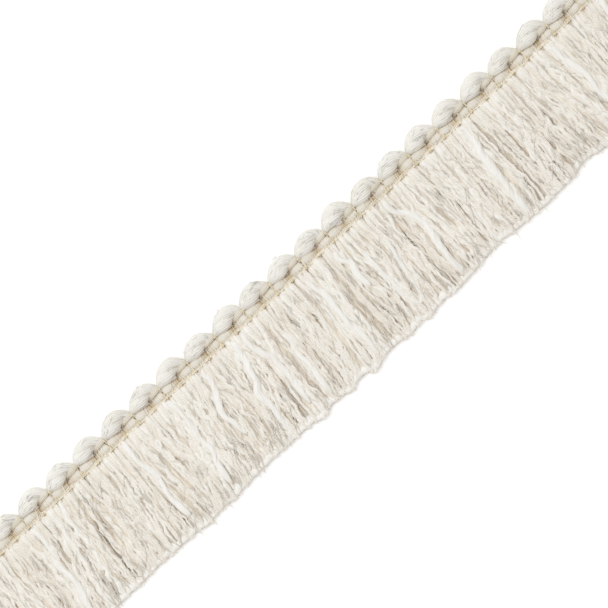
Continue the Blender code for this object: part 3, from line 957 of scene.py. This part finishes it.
def make_loops(name, material, draw, count, radius, sides, stations, depth, stray, waves, loop_width,
               shortfall, beads=0.0, stout=(0.92, 1.08)):
    """Looped yarns: each goes down the skirt, turns round at its lower edge and comes back underneath.

    The way down is the root's place, plus the lean of the trim there times a power of the share gone, plus
    the sway of its neighbours and small waves of its own. The turn is half a circle in a plane at a chance
    slant, and the way back is the way down, moved by about the circle's width. The yarns take a warm painted
    shade where they lie below the skirt's face, but not at the turn or on their undersides, which are open to
    the light.
    """
    each = (count, 1)
    roots = spread_roots(draw, count)[:, None]
    middle, across, bunch_lean = bunches(roots)
    lean = eased(LEANS, roots) + bunch_lean + stray * MM * draw.normal(0, 1, each)
    sways = draw.uniform(0, 1, (count, len(waves), 3))
    rises = draw.uniform(0, 1, (count, len(HEIGHT_WAVES), 3))
    deep = chance_mm(draw, depth, each)
    width = chance_mm(draw, loop_width, each)
    short = chance_mm(draw, shortfall, each)
    slant = -np.pi / 2 + draw.uniform(-1.25, 1.25, each)

    def way(share, drift):
        """The points at shares of the way down: bound and tucked in at the roots, and free further down."""
        free = np.minimum(1, 4 * share)
        x = roots + (middle - roots) * 0.09 * bell(share, 0, 0.10) + lean * share**1.15
        x = parted(x + free * (flow(roots, share) + MM * wander(sways, share, waves)) + drift, share)
        start = ROOT_Y - 0.4 * MM * across**2
        y = start + (lower_edge(roots + lean) + short + width / 2 - start) * share
        packed = 1 - 0.7 * bell(share, 0, 0.12)
        puff = (ROOT_PUFF - 0.18 * across**2) * bell(share, 0.06, 0.07)
        tuck = ROOT_TUCK * bell(share, 0, 0.025)
        rise = puff - tuck - (radius - FINE_YARN) + free * wander(rises, share, HEIGHT_WAVES)
        return np.stack([x, y, skirt_height(share) - deep * packed + MM * rise], axis=-1)

    down, turn, back = (np.linspace(0, 1, n) for n in stations)
    half_circle = np.pi * turn[1:-1]
    direction = np.stack([np.cos(slant), 0 * slant, np.sin(slant)], axis=-1)
    down_path = way(down, 0.0)
    turn_path = down_path[:, -1:] + direction * (width * (1 - np.cos(half_circle)) / 2)[..., None]
    turn_path[..., 1] -= width / 2 * np.sin(half_circle)
    back_path = way(1 - back, 0.6 * MM * np.sin(7 * slant) * back)
    back_path = back_path + direction * (width * (1 - 0.35 * back))[..., None]
    paths = np.concatenate([down_path, turn_path, back_path], axis=1)
    lengths = path_length(paths)

    beading = wander(draw.uniform(0, 1, (count, 2, 3)), lengths[0] / lengths[0, -1], BEAD_WAVES)
    thick = radius * MM * draw.uniform(*stout, each) * (1 + beads * beading)
    paths[..., 2] = np.maximum(paths[..., 2], 1.02 * thick)
    normals = unit(np.cross((0, -1, 0), direction[:, 0]))
    points = sweep(paths, normals, thick, np.ones(sides), turns=sways[:, :1, 0])

    gone = np.concatenate([down, np.ones(len(half_circle)), 1 - back])
    tones = draw.uniform(0, 1, each) + cloth_tone(roots)
    tones = tones + 0.3 * bell(gone, 1, 0.08) + 0.10 * bell(gone, 0, 0.12)
    # Painted shade: below the skirt's face the colour turns warm and dark, but not at the turn or on the
    # undersides.
    inside = 1 - bell(gone, 1, 0.05)
    facing_up = np.clip(1 + 2 * (points[..., 2] - paths[..., 2:]) / thick[..., None], 0, 1)
    painted_shade = sunk(points, (skirt_height(gone) + SKIRT_FACE)[:, None], SKIRT_SHADE_REACH)
    return tubes_to_mesh(name, material, points, lengths, tones, painted_shade * inside[:, None] * facing_up)


def make_edge_roll(material):
    """The lower edge, where the loops' ends have felted together: a soft roll of uneven breadth.

    Its section follows the lower edge. Its breadth comes and goes by beats, and slanting sine waves raise and
    shift its corners a little. Low down it turns grey, a painted shadow along the rim where it nears the
    table.
    """
    x = np.linspace(X_START + EDGE_INSET, X_START + LENGTH - EDGE_INSET, EDGE_STATIONS)[:, None]
    past, height = np.array(EDGE_SECTION).T * MM
    rise, drift = 0, 0
    for size, length, slant in EDGE_RIPPLES:
        wave = 2 * np.pi * (x / (length * MM) + slant * np.arange(len(past)))
        rise = rise + size * MM * np.sin(wave)
        drift = drift + 0.7 * size * MM * np.sin(1.31 * wave + 1)
    breadth = 0.86 + 0.20 * (beats(x, 0.62, 2.3, start=1) + beats(x, 1.3, 4.1))
    y = lower_edge(x) + breadth * past + drift
    z = np.maximum((0.80 + 0.16 * breadth) * height + rise, EDGE_FLOOR)
    points = np.stack([np.broadcast_to(x, y.shape), y, z], axis=-1)[None, :, ::-1]
    lengths = x.T - X_START
    tones = 0.75 + 0.25 * beats(x.T, 1.1, 3.7)
    return tubes_to_mesh("edge_roll", material, points, lengths, tones, sunk(points, EDGE_SHADE_TOP, EDGE_SHADE_REACH))


def make_slubs(material, draw):
    """The thick white slub yarns: two soft strands, barely twisted, on their own route over the others.

    The strands' centres circle round the route. They rise and fall by a sine wave, dive in at the lower edge,
    and are round at both ends.
    """
    round_end = np.sqrt(np.clip(1 - np.linspace(-1, 1, SLUB_STATIONS) ** 12, 0.02, 1))
    paths, radii = [], []
    for thickness, route in SLUBS:
        x, share = through(route, SLUB_STATIONS).T
        x = x * MM
        y = ROOT_Y + (lower_edge(x) - ROOT_Y) * share
        dive = np.clip((share - 0.80) / 0.2, 0, 1) ** 2
        z = skirt_height(share) + MM * (0.02 - 0.9 * dive + 0.25 * np.sin(9 * share + 40 * thickness))
        for strand in range(2):
            angle = 2 * np.pi * (strand / 2 + (1.1 + 0.3 * thickness) * share + thickness)
            apart = 0.26 * thickness * MM * round_end
            paths.append(np.column_stack([x + apart * np.cos(angle), y, z + 0.7 * apart * np.sin(angle)]))
            unevenness = 1 + 0.12 * np.sin((19 + 5 * strand) * share + strand)
            radii.append(0.80 * thickness * MM * round_end * unevenness)
    tones = draw.uniform(0.4, 1.0, len(paths))
    return thread_piece("slub_yarns", material, paths, radii, lobed(14, lobes=4, depth=0.12), tones,
                        turn_mm=12)


def make_fluff(material, draw):
    """Short curved fibres that stand off the yarns all over the skirt's face, bent either way.

    A fibre runs at a chance angle to the lean of the trim there. It is bent sideways by a parabola, and its
    ends droop.
    """
    each = (FLUFF_FIBRES, 1)
    along = np.linspace(-1, 1, 8)
    x = draw.uniform(X_START + 2 * MM, X_START + LENGTH - 2 * MM, each)
    share = draw.uniform(0.04, 0.96, each)
    reach = chance_mm(draw, FLUFF_HALF_LENGTH, each) * along
    angle = draw.normal(0, 0.30, each) + eased(LEANS, x) / (FLUFF_LEAN_SPAN * MM)
    bend = MM * draw.normal(0, FLUFF_BEND, each) * along**2
    height = chance_mm(draw, FLUFF_HEIGHT, each) - FLUFF_DROOP * MM * along**4
    share_along = np.clip(share + reach * np.cos(angle) / (FLUFF_FACE_SPAN * MM), 0, 1)
    paths = np.stack([
        x + eased(LEANS, x) * share + reach * np.sin(angle) + bend * np.cos(angle),
        ROOT_Y + (EDGE_Y - ROOT_Y) * share - reach * np.cos(angle) + bend * np.sin(angle),
        skirt_height(share_along) + height,
    ], axis=-1)
    radii = chance_mm(draw, FLUFF_THREAD, each) * np.sqrt(1.05 - along**2)
    tones = draw.uniform(0.3, 1.0, FLUFF_FIBRES)
    return thread_piece("fluff", material, paths, radii, np.ones(3), tones)


# The stage


def make_table():
    """The pale table that the trim lies on: one large square, which glows a little."""
    reach = TABLE_REACH
    mesh = bpy.data.meshes.new("table")
    corners = [(-reach, -reach, 0), (reach, -reach, 0), (reach, reach, 0), (-reach, reach, 0)]
    mesh.from_pydata(corners, [], [(0, 1, 2, 3)])
    white = bpy.data.materials.new("table_white")
    white.use_nodes = True
    feed(white.node_tree, white.node_tree.nodes["Principled BSDF"], {
        "Base Color": (TABLE_GREY, TABLE_GREY, TABLE_GREY, 1),
        "Roughness": 0.9,
        "Specular IOR Level": 0.1,
        "Emission Color": (1, 1, 1, 1),
        "Emission Strength": TABLE_GLOW,
    })
    mesh.materials.append(white)
    table = add_object("table", mesh)


def make_camera():
    """Straight above the trim, through a long lens, turned so that the trim climbs to the upper right."""
    data = bpy.data.cameras.new("camera")
    data.sensor_width = SENSOR
    data.lens = SENSOR * (CAMERA_HEIGHT - PICTURE_MIDDLE[2]) / PICTURE_SPAN
    camera = add_object("camera", data)
    camera.location = (*PICTURE_MIDDLE[:2], CAMERA_HEIGHT)
    camera.rotation_euler = (0, 0, -math.radians(PICTURE_ANGLE))
    bpy.context.scene.camera = camera


def light_the_room():
    """A bright, even and slightly warm room."""
    world = bpy.data.worlds.new("studio")
    world.use_nodes = True
    background = world.node_tree.nodes["Background"]
    feed(world.node_tree, background, {"Color": (*ROOM_COLOUR, 1), "Strength": ROOM_STRENGTH})
    bpy.context.scene.world = world


def make_key_light():
    """One large soft light, slightly cool, which shines on the trim from behind its scallops."""
    place = unit(np.array(KEY_DIRECTION)) * KEY_DISTANCE
    lamp = bpy.data.lights.new("key_light", "AREA")
    lamp.size = KEY_SIZE
    lamp.energy = KEY_POWER
    lamp.color = KEY_COLOUR
    light = add_object("key_light", lamp)
    light.location = place
    tilt = math.acos(place[2] / KEY_DISTANCE)
    light.rotation_euler = (tilt, 0, math.atan2(place[1], place[0]) + math.pi / 2)


def main():
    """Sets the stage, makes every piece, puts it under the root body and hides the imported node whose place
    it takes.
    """
    bpy.context.scene.view_settings.view_transform = "Standard"
    make_camera()
    make_table()
    light_the_room()
    make_key_light()
    surface = yarn_surface_group()
    finish = {name: yarn_material(name, surface, **look) for name, look in FINISHES.items()}
    draw = np.random.default_rng(SEED)
    # The pieces are made in this order, and each takes the next chance numbers.
    pieces = {
        "scallop_cord": [
            lay_bundles("scallop_plies", finish["grey_white_roving"], draw, (FRONT_PLY, CREST_PLY), strands=9,
                        sides=36, stations=24, stray_mm=0.24, stain_and_shade=0.12),
            lay_bundles("eye_bundles", finish["shaded_fan_roving"], draw, (FAN_PLY,), strands=6, sides=24,
                        stations=14, stray_mm=0.10, stain_and_shade=0.06),
            make_fuzz(finish["grey_white_roving"], draw),
        ],
        "filler_cord": [
            make_wraps(finish["beige_thread"], draw),
            lay_bundles("laid_yarn_lumps", finish["laid_yarn"], draw, (LEFT_LUMP, RIGHT_LUMP), strands=5,
                        sides=25, stations=14, stray_mm=0.10, stain_and_shade=0.35),
        ],
        "binding_thread": [
            make_ties(finish["ochre_thread"], draw),
            make_knots(finish["ochre_thread"], draw),
            make_selvedge(finish["beige_thread"], draw),
        ],
        "brush_skirt": [
            make_root_strip(finish["beige_thread"]),
            *(make_loops(name, finish[look], draw, **shape) for name, (look, shape) in LOOPS.items()),
            make_edge_roll(finish["felted_edge"]),
            make_fluff(finish["fine_cotton"], draw),
            make_slubs(finish["white_slub"], draw),
        ],
    }
    for node, made in pieces.items():
        for piece in made:
            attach(piece, "root")
            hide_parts(node)


main()
